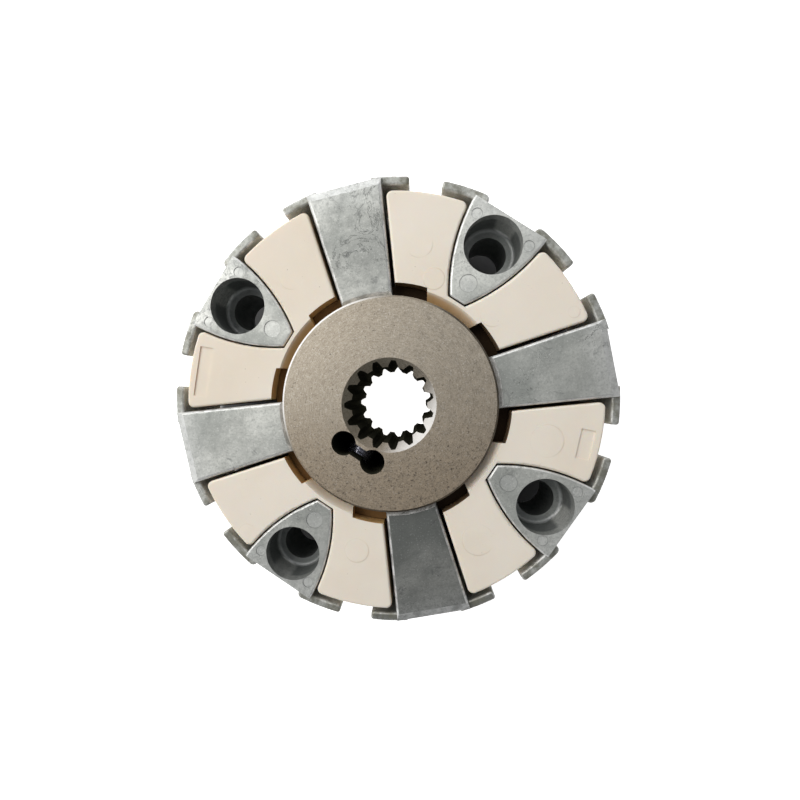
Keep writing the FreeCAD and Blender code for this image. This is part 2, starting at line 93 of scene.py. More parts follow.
class Shader:
    """A node material and short calls that add and join its nodes."""

    def __init__(self, name):
        self.material = bpy.data.materials.new(name)
        self.material.use_nodes = True
        self.tree = self.material.node_tree
        self.surface = self.tree.nodes["Principled BSDF"]

    def node(self, kind, **settings):
        made = self.tree.nodes.new(kind)
        for key, value in settings.items():
            setattr(made, key, value)
        return made

    def put(self, value, socket):
        """Join an output to a socket, or write a plain value on it."""
        if isinstance(value, bpy.types.NodeSocket):
            self.tree.links.new(value, socket)
        else:
            socket.default_value = value

    def math(self, operation, a, b=0.0):
        made = self.node("ShaderNodeMath", operation=operation)
        self.put(a, made.inputs[0])
        self.put(b, made.inputs[1])
        return made.outputs[0]

    def times(self, first, *others):
        for other in others:
            first = self.math("MULTIPLY", first, other)
        return first

    def plus(self, a, b):
        return self.math("ADD", a, b)

    def minus(self, a, b):
        return self.math("SUBTRACT", a, b)

    def mix(self, amount, color, other):
        """A colour with an amount of another one over it."""
        made = self.node("ShaderNodeMix", data_type="RGBA", blend_type="MIX")
        self.put(amount, made.inputs[0])
        self.put(color, made.inputs[6])
        self.put(other, made.inputs[7])
        return made.outputs[2]

    def ramp(self, value, start, end, at_start=0.0, at_end=1.0):
        """A smooth step of a value from one range to another."""
        made = self.node("ShaderNodeMapRange", interpolation_type="SMOOTHSTEP")
        for item, socket in zip((value, start, end, at_start, at_end), made.inputs):
            self.put(item, socket)
        return made.outputs[0]

    def coords(self):
        return self.node("ShaderNodeTexCoord").outputs["Object"]

    def noise(self, vector, scale, detail, roughness, distortion=0.0):
        made = self.node("ShaderNodeTexNoise")
        self.put(vector, made.inputs["Vector"])
        made.inputs["Scale"].default_value = scale
        made.inputs["Detail"].default_value = detail
        made.inputs["Roughness"].default_value = roughness
        made.inputs["Distortion"].default_value = distortion
        return made.outputs["Fac"]

    def patches(self, vector, scale, detail, roughness, start, end, least=0.0, most=1.0, distortion=0.0):
        """Noise cut to patches: least where it is below start, most where it is above end."""
        field = self.noise(vector, scale, detail, roughness, distortion)
        return self.ramp(field, start, end, least, most)

    def offset(self, vector, shift):
        made = self.node("ShaderNodeVectorMath", operation="ADD")
        self.put(vector, made.inputs[0])
        made.inputs[1].default_value = shift
        return made.outputs[0]

    def xyz(self, vector):
        """The three coordinates of a vector."""
        made = self.node("ShaderNodeSeparateXYZ")
        self.put(vector, made.inputs[0])
        return made.outputs[0:3]

    def length(self, across, along):
        return self.math("SQRT", self.plus(self.times(across, across), self.times(along, along)))

    def shaft_radius(self, vector):
        """Distance of a point from the shaft axis."""
        x, y = self.xyz(vector)[0:2]
        return self.length(x, y)

    def polar(self, vector, per_radius, per_turn):
        """Stretched coordinates around the shaft axis, for marks that run in circles."""
        x, y, z = self.xyz(vector)
        made = self.node("ShaderNodeCombineXYZ")
        self.put(self.times(self.shaft_radius(vector), per_radius), made.inputs[0])
        self.put(self.times(self.math("ARCTAN2", y, x), per_turn), made.inputs[1])
        self.put(z, made.inputs[2])
        return made.outputs[0]

    def turned_back(self, vector, turn_deg):
        """Coordinates of a piece turned about the shaft axis, as if it stood at the X axis."""
        made = self.node("ShaderNodeVectorRotate", rotation_type="Z_AXIS")
        self.put(vector, made.inputs["Vector"])
        made.inputs["Angle"].default_value = math.radians(-turn_deg)
        return made.outputs[0]

    def face_normal(self):
        return self.xyz(self.node("ShaderNodeNewGeometry").outputs["True Normal"])

    def facing_up(self):
        """How squarely a face looks along the shaft axis, 0 to 1."""
        return self.math("ABSOLUTE", self.face_normal()[2])

    def circle_marks(self, vector, circles, width):
        """Outlines and insides of round marks, each from 0 to 1."""
        x, y = self.xyz(vector)[0:2]
        outline = 0.0
        inside = 0.0
        for centre_x, centre_y, radius in circles:
            distance = self.length(self.minus(x, centre_x), self.minus(y, centre_y))
            off_line = self.math("ABSOLUTE", self.minus(distance, radius))
            ring = self.ramp(off_line, 0.0, width, 1.0, 0.0)
            disc = self.ramp(distance, radius - width, radius + width, 1.0, 0.0)
            outline = self.math("MAXIMUM", outline, ring)
            inside = self.math("MAXIMUM", inside, disc)
        return outline, inside

    def bump(self, height, distance, strength, after=None):
        made = self.node("ShaderNodeBump")
        made.inputs["Distance"].default_value = distance
        made.inputs["Strength"].default_value = strength
        self.put(height, made.inputs["Height"])
        if after is not None:
            self.put(after, made.inputs["Normal"])
        return made.outputs[0]

    def finish(self, color, roughness, normal=None, metallic=None):
        self.put(color, self.surface.inputs["Base Color"])
        self.put(roughness, self.surface.inputs["Roughness"])
        if metallic is not None:
            self.surface.inputs["Metallic"].default_value = metallic
        if normal is not None:
            self.put(normal, self.surface.inputs["Normal"])
        return self.material


# Cast aluminium of the claws

CAST_BASE = (0.64, 0.645, 0.60)
CAST_DARK = (0.30, 0.31, 0.29)
CAST_CLOUD = (0.25, 0.27, 0.25)
CAST_BLOTCH = (0.24, 0.245, 0.235)
CAST_SHEEN_OUTER_END = (0.95, 0.96, 0.93)
CAST_SHEEN_OUTER_END_LIMIT = (0.80, 0.80, 0.78)
CAST_BRIGHT = rgb(0.86, 0.86, 0.845)
CAST_CRACK = rgb(0.10, 0.105, 0.10)
CAST_POCKET_SHADE = rgb(0.10, 0.11, 0.11)
CAST_WING_SKIN = rgb(0.19, 0.185, 0.145)
CAST_MARK = rgb(0.16, 0.165, 0.16)
CAST_METALLIC = 0.62

CLOUD_COVER = 0.40
CLOUD_COVER_TONE = 0.9
CLOUD_COVER_PER_TONE = 0.70
CRACK_WIDTH = 0.014
CRACK_PATCH_SOFTNESS = 0.12

SHEEN_OUTER_END_BAND = (0.108, 0.128)
BURIED_RADIUS_BAND = (0.124, 0.121)
SUNK_HEIGHT_BAND = (0.0745, 0.0715)
SUNK_RADIUS_BAND = (0.1235, 0.1225)
WING_HEIGHT_BAND = (0.0785, 0.0765)
WING_RADIUS_BAND = (0.1235, 0.1250)
MARK_HEIGHT_BAND = (0.078, 0.079)
CLAW_WALL_FACING_BAND = (0.45, 0.1)
CLAW_CORNER_FACING_BAND = (0.15, 0.5)
CLAW_FLAT_FACING_BAND = (0.995, 0.9)

# Round features of an axial claw that stands on the X axis: centre x, centre y, radius
COUNTERBORE = (0.1075, 0.0, 0.0168)
COUNTERBORE_LINE = 0.0002
EJECTOR_MARKS = [(0.0825, 0.0, 0.0050), (0.1173, 0.0172, 0.003), (0.1173, -0.0172, 0.003)]
EJECTOR_MARK_LINE = 0.0003


def cast_face(s, place, radius, tone, stain, cracked):
    """Colour of the cast skin before its edges and hollows, with a painted sheen towards its outer end,
    and where it is cracked, from 0 to 1.
    """
    # The tone makes the whole claw lighter or darker: painted light and shade. A claw painted darker also
    # gets more dark cloud.
    dark = shade(tone, CAST_DARK)
    mottle = s.patches(place, scale=30.0, detail=5.0, roughness=0.62, start=0.36, end=0.66, most=0.55)
    color = s.mix(mottle, shade(tone, CAST_BASE), dark)
    cloud_cover = CLOUD_COVER + CLOUD_COVER_PER_TONE * max(0.0, CLOUD_COVER_TONE - tone)
    cloud = s.patches(s.offset(place, (0.7, 0.3, 0.2)), scale=16.0, detail=3.0, roughness=0.5,
                      start=0.44, end=0.60, most=cloud_cover, distortion=0.6)
    color = s.mix(cloud, color, shade(tone, CAST_CLOUD))
    # Painted sheen: the skin is painted lighter towards the claw's outer end.
    sheen_outer_end = s.ramp(radius, *SHEEN_OUTER_END_BAND, 0.0, 0.35)
    color = s.mix(sheen_outer_end, color, shade(tone, CAST_SHEEN_OUTER_END, CAST_SHEEN_OUTER_END_LIMIT))
    coarse = s.patches(place, scale=230.0, detail=4.0, roughness=0.7, start=0.40, end=0.62, most=0.30)
    color = s.mix(coarse, color, dark)
    grain = s.patches(place, scale=700.0, detail=3.0, roughness=0.65, start=0.48, end=0.68, most=0.45)
    color = s.mix(grain, color, dark)
    glint = s.patches(s.offset(place, (0.4, 0.2, 0.1)), scale=1000.0, detail=2.0, roughness=0.6,
                      start=0.58, end=0.72, most=0.35 * min(1.0, tone))
    color = s.mix(glint, color, CAST_BRIGHT)
    blotch = s.patches(place, scale=90.0, detail=4.0, roughness=0.7, start=0.60, end=0.72, most=stain,
                       distortion=1.5)
    color = s.mix(blotch, color, shade(tone, CAST_BLOTCH))
    lines = s.noise(place, scale=48.0, detail=6.0, roughness=0.62, distortion=2.2)
    crack = s.ramp(s.math("ABSOLUTE", s.minus(lines, 0.5)), 0.0, CRACK_WIDTH, 1.0, 0.0)
    patch = s.patches(place, scale=20.0, detail=2.0, roughness=0.5,
                      start=cracked, end=cracked + CRACK_PATCH_SOFTNESS)
    crack = s.times(crack, patch)
    return s.mix(s.times(crack, stain), color, CAST_CRACK), crack


def cast_aluminium(name, tone, shift, stain, turn_deg, marks, cracked=0.42):
    """Dull die-cast aluminium: mottled, grainy and stained, with cracks, bright worn edges, painted shade
    in its gaps and hollows and a painted sheen at its outer end.
    """
    s = Shader(name)
    spot = s.coords()
    place = s.offset(spot, shift)
    radius = s.shaft_radius(spot)
    height = s.xyz(spot)[2]
    facing = s.facing_up()
    color, crack = cast_face(s, place, radius, tone, stain, cracked)

    # Painted shade on the walls between the claws and the blocks, lighter on the walls of the counterbore
    own_place = s.turned_back(spot, turn_deg)
    wall = s.ramp(facing, *CLAW_WALL_FACING_BAND)
    well = s.circle_marks(own_place, [COUNTERBORE], COUNTERBORE_LINE)[1]
    buried_shade = s.times(wall, s.ramp(radius, *BURIED_RADIUS_BAND))
    color = s.mix(s.times(buried_shade, s.ramp(well, 0.0, 1.0, 0.8, 0.3)), color, CAST_POCKET_SHADE)

    # Edges rubbed bright
    corner = s.times(s.ramp(facing, *CLAW_CORNER_FACING_BAND), s.ramp(facing, *CLAW_FLAT_FACING_BAND))
    rub = s.patches(place, scale=160.0, detail=4.0, roughness=0.7,
                    start=0.35, end=0.6, least=0.25, most=0.9)
    color = s.mix(s.times(corner, rub), color, CAST_BRIGHT)

    # Painted shade on the floors of hollows, and darker blotches on the wings
    sunk_shade = s.times(s.ramp(height, *SUNK_HEIGHT_BAND), s.ramp(radius, *SUNK_RADIUS_BAND, 0.0, 0.7))
    color = s.mix(sunk_shade, color, CAST_POCKET_SHADE)
    wing = s.times(s.ramp(height, *WING_HEIGHT_BAND), s.ramp(radius, *WING_RADIUS_BAND))
    skin = s.patches(place, scale=110.0, detail=4.0, roughness=0.7,
                     start=0.36, end=0.62, least=0.15, most=0.85)
    color = s.mix(s.times(wing, skin, s.ramp(wall, 0.0, 1.0, 1.0, 0.25)), color, CAST_WING_SKIN)

    if marks:
        outline, disc = s.circle_marks(own_place, marks, EJECTOR_MARK_LINE)
        outline = s.times(outline, s.ramp(height, *MARK_HEIGHT_BAND))
        color = s.mix(s.times(outline, 0.5), color, CAST_MARK)
        color = s.mix(s.times(disc, 0.12), color, CAST_BRIGHT)
    roughness = s.patches(place, scale=120.0, detail=4.0, roughness=0.6,
                          start=0.3, end=0.7, least=0.46, most=0.62)
    grain = s.noise(place, scale=650.0, detail=4.0, roughness=0.6)
    waves = s.noise(place, scale=60.0, detail=3.0, roughness=0.5)
    normal = s.bump(grain, distance=0.00018, strength=0.6)
    normal = s.bump(waves, distance=0.0009, strength=0.35, after=normal)
    normal = s.bump(crack, distance=0.00012, strength=0.6, after=normal)
    return s.finish(color, roughness, normal, metallic=CAST_METALLIC)


# Turned steel of the hub

HUB_BASE = rgb(0.47, 0.415, 0.335)
HUB_CLOUD = rgb(0.37, 0.315, 0.24)
HUB_PAINTED_SHADE = rgb(0.35, 0.25, 0.15)
HUB_DARK = rgb(0.20, 0.165, 0.125)
HUB_BRIGHT = rgb(0.80, 0.77, 0.71)
HUB_PIT = rgb(0.06, 0.05, 0.04)
HUB_RIM_SHADE = rgb(0.08, 0.065, 0.048)
HUB_MOUTH_SHADE = rgb(0.24, 0.225, 0.15)
HUB_EDGE_LIGHT = rgb(0.90, 0.885, 0.86)
HUB_BORE_WALL_SHADE = rgb(0.032, 0.031, 0.021)
HUB_METALLIC = 0.85
HUB_SPECULAR = 0.5

RINGS_PER_METRE = 9000.0
RING_WOBBLE = 0.0006
HUB_SHADE_WOBBLE = 0.03
HUB_SHADE_SLANT = 0.12
BRUSH_PER_RADIUS = 2200.0
BRUSH_PER_TURN = 9.0

HUB_SHADE_BAND = (0.030, -0.040)
RIM_RADIUS_BAND = (0.050, 0.055)
RIM_LIGHT_BAND = (0.040, 0.080)
RIM_SHADE_BAND = (0.030, -0.010)
MOUTH_RADIUS_BAND = (0.040, 0.035)
MOUTH_LIGHT_BAND = (-0.010, -0.036)
MOUTH_SHADE_BAND = (-0.010, 0.030)
BORE_RADIUS_BAND = (0.047, 0.045)
HUB_SLANT_FACING_BAND = (0.2, 0.5)
HUB_FLAT_FACING_BAND = (0.98, 0.8)
HUB_WALL_FACING_BAND = (0.25, 0.1)


def hub_face(s, place, rings, speckle, hub_shade):
    """Colour of the turned face: brushed arcs, grit, bright flecks and dark pits, and painted shade
    towards the bottom, where there is more grit, more pits and fewer flecks.
    """
    cloud = s.patches(place, scale=16.0, detail=4.0, roughness=0.6, start=0.35, end=0.7, most=0.45)
    color = s.mix(cloud, HUB_BASE, HUB_CLOUD)
    # Painted shade: darker and browner towards the bottom.
    color = s.mix(s.times(hub_shade, 0.50), color, HUB_PAINTED_SHADE)
    arcs = s.polar(place, BRUSH_PER_RADIUS, BRUSH_PER_TURN)
    brushed = s.patches(arcs, scale=1.0, detail=3.0, roughness=0.6, start=0.42, end=0.66, most=0.42)
    color = s.mix(brushed, color, HUB_DARK)
    grit = s.times(s.ramp(speckle, 0.50, 0.62), s.ramp(hub_shade, 0.0, 1.0, 0.55, 1.0))
    color = s.mix(grit, color, HUB_DARK)
    fleck = s.patches(s.offset(place, (0.31, 0.17, 0.0)), scale=1300.0, detail=2.0, roughness=0.6,
                      start=0.58, end=0.70, most=s.ramp(hub_shade, 0.0, 1.0, 0.42, 0.22))
    color = s.mix(fleck, color, HUB_BRIGHT)
    pit = s.patches(s.offset(place, (0.5, 0.1, 0.2)), scale=520.0, detail=4.0, roughness=0.68,
                    start=s.ramp(hub_shade, 0.0, 1.0, 0.64, 0.565), end=s.ramp(hub_shade, 0.0, 1.0, 0.70, 0.67))
    color = s.mix(s.times(pit, 0.80), color, HUB_PIT)
    return s.mix(s.times(s.ramp(rings, -1.0, 1.0), 0.10), color, HUB_DARK)


def turned_steel(name):
    """The hub: turned steel with concentric tool marks, a sandy speckle and painted shade towards the
    bottom.
    """
    s = Shader(name)
    place = s.coords()
    radius = s.shaft_radius(place)
    across, along = s.xyz(place)[0:2]
    facing = s.facing_up()
    wobble = s.times(s.noise(place, scale=9.0, detail=2.0, roughness=0.5), RING_WOBBLE)
    rings = s.math("SINE", s.times(s.plus(radius, wobble), RINGS_PER_METRE))
    speckle = s.noise(place, scale=1500.0, detail=3.0, roughness=0.75)
    # Where the painted shade comes in: towards -Y, slanted a little and with a wavy edge.
    shade_wobble = s.times(s.noise(place, scale=22.0, detail=3.0, roughness=0.6), HUB_SHADE_WOBBLE)
    shade_across = s.plus(along, s.times(across, HUB_SHADE_SLANT))
    hub_shade = s.ramp(s.plus(shade_across, shade_wobble), *HUB_SHADE_BAND)
    color = hub_face(s, place, rings, speckle, hub_shade)

    # Chamfers of the rim and of the bore's mouth, with a painted highlight on one side and painted shade
    # on the other
    diagonal = s.minus(along, across)
    slant = s.times(s.ramp(facing, *HUB_SLANT_FACING_BAND), s.ramp(facing, *HUB_FLAT_FACING_BAND))
    rim = s.times(slant, s.ramp(radius, *RIM_RADIUS_BAND))
    rim_light = s.times(rim, s.ramp(diagonal, *RIM_LIGHT_BAND))
    color = s.mix(s.times(rim, s.ramp(diagonal, *RIM_SHADE_BAND, 0.0, 0.85)), color, HUB_RIM_SHADE)
    mouth = s.times(slant, s.ramp(radius, *MOUTH_RADIUS_BAND))
    mouth_light = s.times(mouth, s.ramp(diagonal, *MOUTH_LIGHT_BAND, 0.0, 0.75))
    color = s.mix(s.times(mouth, s.ramp(diagonal, *MOUTH_SHADE_BAND, 0.0, 0.30)), color, HUB_MOUTH_SHADE)
    light = s.plus(rim_light, mouth_light)
    color = s.mix(light, color, HUB_EDGE_LIGHT)

    # Painted shade on the walls of the spline and of the clamp holes
    wall = s.times(s.ramp(facing, *HUB_WALL_FACING_BAND), s.ramp(radius, *BORE_RADIUS_BAND))
    color = s.mix(wall, color, HUB_BORE_WALL_SHADE)
    roughness = s.patches(place, scale=200.0, detail=4.0, roughness=0.7,
                          start=0.3, end=0.75, least=0.38, most=0.58)
    roughness = s.plus(roughness, s.times(wall, 0.4))
    bare = s.minus(1.0, wall)
    metallic = s.times(bare, s.minus(HUB_METALLIC, s.times(light, 0.70)))
    s.put(metallic, s.surface.inputs["Metallic"])
    s.put(s.times(bare, HUB_SPECULAR), s.surface.inputs["Specular IOR Level"])
    normal = s.bump(rings, distance=0.000012, strength=0.5)
    normal = s.bump(speckle, distance=0.00009, strength=0.7, after=normal)
    return s.finish(color, roughness, normal)


# Cream elastomer of the element

CREAM = rgb(0.80, 0.73, 0.63)
CREAM_WARM = rgb(0.77, 0.68, 0.555)
CREAM_SHADE_UPPER_LEFT = rgb(0.725, 0.625, 0.495)
CREAM_PALE = rgb(0.84, 0.78, 0.69)
AMBER = rgb(0.66, 0.40, 0.15)
AMBER_EDGE_SHADE = rgb(0.56, 0.37, 0.18)
AMBER_DEEP_SHADE = rgb(0.58, 0.41, 0.22)
AMBER_BEVEL_SHADE = rgb(0.44, 0.26, 0.10)
WALL_IN_SHADE = rgb(0.05, 0.025, 0.01)
NOTCH_IN_SHADE = rgb(0.010, 0.007, 0.005)
NOTCH_IN_LIGHT = rgb(0.22, 0.12, 0.045)
SOIL = rgb(0.42, 0.33, 0.24)
BROWN_FLECK = rgb(0.25, 0.17, 0.12)
MARK_LINE = rgb(0.5, 0.38, 0.25)
SUBSURFACE_RADIUS = (0.010, 0.006, 0.003)
SUBSURFACE_SCALE = 0.6
SUBSURFACE_WEIGHT = 0.22
CREAM_SPECULAR = 0.5
NOTCH_SPECULAR = 0.05

SHADE_UPPER_LEFT_BAND = (0.070, 0.130)
EDGE_DEPTH_BAND = (0.0, 0.002)
DEEP_DEPTH_BAND = (0.0005, 0.012)
NOTCH_DEPTH_BAND = (0.0085, 0.0115)
NOTCH_RADIUS_BAND = (0.0725, 0.0715)
NOTCH_WALL_RADIUS_BAND = (0.0745, 0.0725)
NOTCH_LIGHT_BAND = (0.014, -0.014)
INNER_WALL_RADIUS_BAND = (0.0695, 0.0670)
LOWER_WALL_BAND = (0.010, -0.035)
BEVEL_RADIUS_BAND = (0.0695, 0.0650)
BEVEL_SHADE_BAND = (-0.050, 0.060)
BEVEL_SHADE_SLANT = 0.6
OUTER_WALL_BAND = (ELEMENT_RADIUS - 0.0015, ELEMENT_RADIUS - 0.0002)
FRONT_HEIGHT_BAND = (0.070, 0.078)
LOWER_RIGHT_NORMAL_BAND = (-0.5, 0.5)
BLOCK_WALL_FACING_BAND = (0.6, 0.2)
BLOCK_EDGE_FACING_BAND = (0.998, 0.8)
BLOCK_BEVEL_FACING_BAND = (0.99, 0.9)
BLOCK_FRONT_FACING_BAND = (0.9, 0.99)

# Round mould marks on the blocks' front faces: centre x, centre y, radius
BLOCK_MARKS = [(0.0359, 0.0861, 0.0075), (0.0400, 0.0652, 0.0061), (0.0682, 0.0380, 0.0067),
               (0.1121, 0.0295, 0.0032), (-0.0407, 0.0851, 0.0071), (0.0841, -0.0387, 0.0094),
               (0.0346, -0.0880, 0.0092), (-0.0371, -0.0813, 0.0072), (-0.1011, -0.0578, 0.0050)]
BLOCK_MARK_LINE = 0.0005


def cream_face(s, place, x, y):
    """Colour of the blocks' faces, with painted shade that makes them warmer and darker towards the upper
    left.
    """
    cloud = s.patches(place, scale=18.0, detail=4.0, roughness=0.6, start=0.35, end=0.7, most=0.60)
    color = s.mix(cloud, CREAM, CREAM_WARM)
    # Painted shade: warmer and darker towards the upper left.
    upper_left = s.ramp(s.minus(y, x), *SHADE_UPPER_LEFT_BAND, 0.0, 0.55)
    color = s.mix(upper_left, color, CREAM_SHADE_UPPER_LEFT)
    pale = s.patches(place, scale=240.0, detail=4.0, roughness=0.65, start=0.55, end=0.75, most=0.16)
    return s.mix(pale, color, CREAM_PALE)


def amber_walls(s, color, x, y, radius, depth, facing):
    """Painted amber shade on the moulding's edges, strongest on the sides facing down and to the right,
    and on its deep walls and inner bevel, and painted light and shade in the notches beside the hub, lit
    on the left and dark on the right.

    Gives the colour, and where a notch is, from 0 to 1.
    """
    wall = s.ramp(facing, *BLOCK_WALL_FACING_BAND)
    normal_x, normal_y = s.face_normal()[0:2]
    # Painted amber shade on the edges, strongest where they face down and to the right.
    lower_right_shade = s.ramp(s.minus(normal_x, normal_y), *LOWER_RIGHT_NORMAL_BAND, 0.40, 0.85)
    lower_wall = s.times(s.ramp(radius, *INNER_WALL_RADIUS_BAND), s.ramp(y, *LOWER_WALL_BAND))
    creamy = s.times(s.minus(1.0, s.times(lower_wall, 0.75)), s.ramp(radius, *OUTER_WALL_BAND, 1.0, 0.15))
    edge = s.times(s.ramp(facing, *BLOCK_EDGE_FACING_BAND), s.ramp(depth, *EDGE_DEPTH_BAND), creamy)
    color = s.mix(s.times(edge, lower_right_shade), color, AMBER_EDGE_SHADE)
    # Painted amber shade on the deep walls.
    deep = s.times(wall, s.ramp(depth, *DEEP_DEPTH_BAND), creamy)
    color = s.mix(s.times(deep, 0.55), color, AMBER_DEEP_SHADE)
    # Painted shade on the inner bevel, strongest towards the upper left.
    bevel = s.times(s.ramp(radius, *BEVEL_RADIUS_BAND), s.ramp(facing, *BLOCK_BEVEL_FACING_BAND))
    shaded = s.ramp(s.minus(y, s.times(x, BEVEL_SHADE_SLANT)), *BEVEL_SHADE_BAND, 0.08, 0.95)
    color = s.mix(s.times(bevel, shaded), color, AMBER_BEVEL_SHADE)
    # Painted light and shade in the notches and on their walls: lit amber on the left, dark on the right.
    lit = s.ramp(x, *NOTCH_LIGHT_BAND, 0.10, 1.0)
    notch_wall = s.times(wall, s.ramp(radius, *NOTCH_WALL_RADIUS_BAND))
    color = s.mix(s.times(notch_wall, 0.92), color, s.mix(lit, WALL_IN_SHADE, AMBER))
    notch = s.times(s.ramp(depth, *NOTCH_DEPTH_BAND), s.ramp(radius, *NOTCH_RADIUS_BAND))
    return s.mix(notch, color, s.mix(lit, NOTCH_IN_SHADE, NOTCH_IN_LIGHT)), notch


def elastomer(name):
    """Cream moulded elastomer: satin, slightly translucent, with painted amber shade where it is deep,
    painted light and shade in its notches, and faint marks.
    """
    s = Shader(name)
    place = s.coords()
    x, y, z = s.xyz(place)
    radius = s.shaft_radius(place)
    depth = s.minus(BLOCK_FACE_Z, z)
    facing = s.facing_up()
    color = cream_face(s, place, x, y)
    color, notch = amber_walls(s, color, x, y, radius, depth, facing)

    # Soil, flecks and mould marks
    soil = s.patches(s.offset(place, (0.2, 0.4, 0.0)), scale=70.0, detail=6.0, roughness=0.7,
                     start=0.66, end=0.74, most=0.22, distortion=1.0)
    color = s.mix(soil, color, SOIL)
    fleck = s.patches(s.offset(place, (0.1, 0.9, 0.3)), scale=520.0, detail=2.0, roughness=0.5,
                      start=0.76, end=0.79, most=0.6)
    color = s.mix(fleck, color, BROWN_FLECK)
    outline, disc = s.circle_marks(place, BLOCK_MARKS, BLOCK_MARK_LINE)
    front = s.times(s.ramp(facing, *BLOCK_FRONT_FACING_BAND), s.ramp(z, *FRONT_HEIGHT_BAND))
    worn = s.patches(place, scale=38.0, detail=2.0, roughness=0.5, start=0.40, end=0.62)
    shown = s.times(front, worn)
    color = s.mix(s.times(outline, shown, 0.30), color, MARK_LINE)

    roughness = s.patches(place, scale=90.0, detail=4.0, roughness=0.6,
                          start=0.3, end=0.7, least=0.42, most=0.56)
    waves = s.noise(place, scale=30.0, detail=2.0, roughness=0.5)
    grain = s.noise(place, scale=1300.0, detail=2.0, roughness=0.5)
    normal = s.bump(waves, distance=0.0016, strength=0.35)
    normal = s.bump(grain, distance=0.00005, strength=0.5, after=normal)
    normal = s.bump(s.times(disc, shown), distance=0.00018, strength=0.7, after=normal)
    surface = s.surface.inputs
    s.put(s.ramp(notch, 0.0, 1.0, CREAM_SPECULAR, NOTCH_SPECULAR), surface["Specular IOR Level"])
    s.put(s.ramp(notch, 0.0, 1.0, SUBSURFACE_WEIGHT, 0.0), surface["Subsurface Weight"])
    surface["Subsurface Radius"].default_value = SUBSURFACE_RADIUS
    surface["Subsurface Scale"].default_value = SUBSURFACE_SCALE
    return s.finish(color, roughness, normal)


# Steel of the screws

BLACK_STEEL = rgb(0.10, 0.10, 0.105)
BLACK_STEEL_WORN = rgb(0.36, 0.35, 0.34)
BLACK_STEEL_METALLIC = 0.9
THREAD_STEEL = rgb(0.42, 0.42, 0.47)
THREAD_STEEL_RUBBED = rgb(0.66, 0.66, 0.72)
THREAD_STEEL_METALLIC = 0.95


def dark_steel(name):
    """Blackened, oiled screw steel with bare metal on its high spots."""
    s = Shader(name)
    place = s.coords()
    wear = s.patches(place, scale=420.0, detail=5.0, roughness=0.7, start=0.5, end=0.72, most=0.5)
    color = s.mix(wear, BLACK_STEEL, BLACK_STEEL_WORN)
    roughness = s.patches(place, scale=250.0, detail=4.0, roughness=0.6,
                          start=0.3, end=0.7, least=0.3, most=0.5)
    grain = s.noise(place, scale=1600.0, detail=3.0, roughness=0.6)
    normal = s.bump(grain, distance=0.00005, strength=0.5)
    return s.finish(color, roughness, normal, metallic=BLACK_STEEL_METALLIC)


def thread_steel(name):
    """Bare screw steel with bright rubbed crests."""
    s = Shader(name)
    place = s.coords()
    rub = s.patches(place, scale=600.0, detail=4.0, roughness=0.7, start=0.3, end=0.7)
    color = s.mix(rub, THREAD_STEEL, THREAD_STEEL_RUBBED)
    roughness = s.patches(place, scale=300.0, detail=3.0, roughness=0.6,
                          start=0.3, end=0.7, least=0.22, most=0.36)
    grain = s.noise(place, scale=1500.0, detail=2.0, roughness=0.6)
    normal = s.bump(grain, distance=0.00004, strength=0.4)
    return s.finish(color, roughness, normal, metallic=THREAD_STEEL_METALLIC)


# The floor: pale, with a painted shadow only where the coupling stands over it, so that its gaps look
# deep

FLOOR_SIDE = 8.0
FLOOR_PALE = rgb(0.90, 0.90, 0.895)
FLOOR_PALER = rgb(0.93, 0.93, 0.925)
FLOOR_PAINTED_SHADOW = rgb(0.05, 0.05, 0.05)
FLOOR_GLOW = rgb(1.0, 1.0, 1.0)
FLOOR_GLOW_STRENGTH = 0.85
FLOOR_ROUGHNESS = 0.8
UNDER_BORE_BAND = (0.0290, 0.0270)
OPEN_FLOOR_BAND = (0.1325, 0.1480)


def pale_floor(name):
    """A white floor with a painted shadow under the coupling, that shines a little around the coupling
    and under its bore.
    """
    s = Shader(name)
    place = s.coords()
    tone = s.patches(place, scale=3.0, detail=2.0, roughness=0.5, start=0.3, end=0.7)
    color = s.mix(tone, FLOOR_PALE, FLOOR_PALER)
    radius = s.shaft_radius(place)
    under_bore = s.ramp(radius, *UNDER_BORE_BAND)
    outside = s.ramp(radius, *OPEN_FLOOR_BAND)
    # Painted shadow under the coupling, except under its bore.
    color = s.mix(s.plus(under_bore, outside), FLOOR_PAINTED_SHADOW, color)
    s.surface.inputs["Emission Color"].default_value = FLOOR_GLOW
    glow = s.plus(under_bore, s.times(outside, FLOOR_GLOW_STRENGTH))
    s.put(glow, s.surface.inputs["Emission Strength"])
    return s.finish(color, FLOOR_ROUGHNESS)


def paint(obj, material):
    """Give a whole object one material."""
    if not obj.material_slots:
        obj.data.materials.append(material)
    for item in obj.material_slots:
        item.material = material


def add_mesh_object(data):
    """Put a mesh in the scene, as an object with the mesh's name."""
    made = bpy.data.objects.new(data.name, data)
    bpy.context.scene.collection.objects.link(made)
    return made


# The elastic element: eight pieces, each from the middle of a radial claw to the middle of an
# axial claw. Each piece is cut into thin slices between BLEND_START and BLEND_END, measured
# across its middle line from the radial claw's side to the axial claw's side.

BLEND_SLICES = 14
BLEND_START = -0.0125
BLEND_END = 0.0195
SECTORS = 2 * CLAWS_PER_SIDE
WELD_DISTANCE = 1e-6
FLAT_FACING = 0.9995
WALL_FACING = 0.01
SMOOTH_ANGLE = math.radians(32.0)


def face_kind(face):
    """0 for a wall along the shaft, 1 for a rounding, 2 for a flat front or rear face."""
    upright = abs(face.normal.z)
    return 2 if upright > FLAT_FACING else 0 if upright < WALL_FACING else 1


def smooth_across(first, second):
    """True where two faces belong to one smooth surface."""
    same_kind = face_kind(first) == face_kind(second)
    return same_kind and first.normal.angle(second.normal, 0.0) < SMOOTH_ANGLE


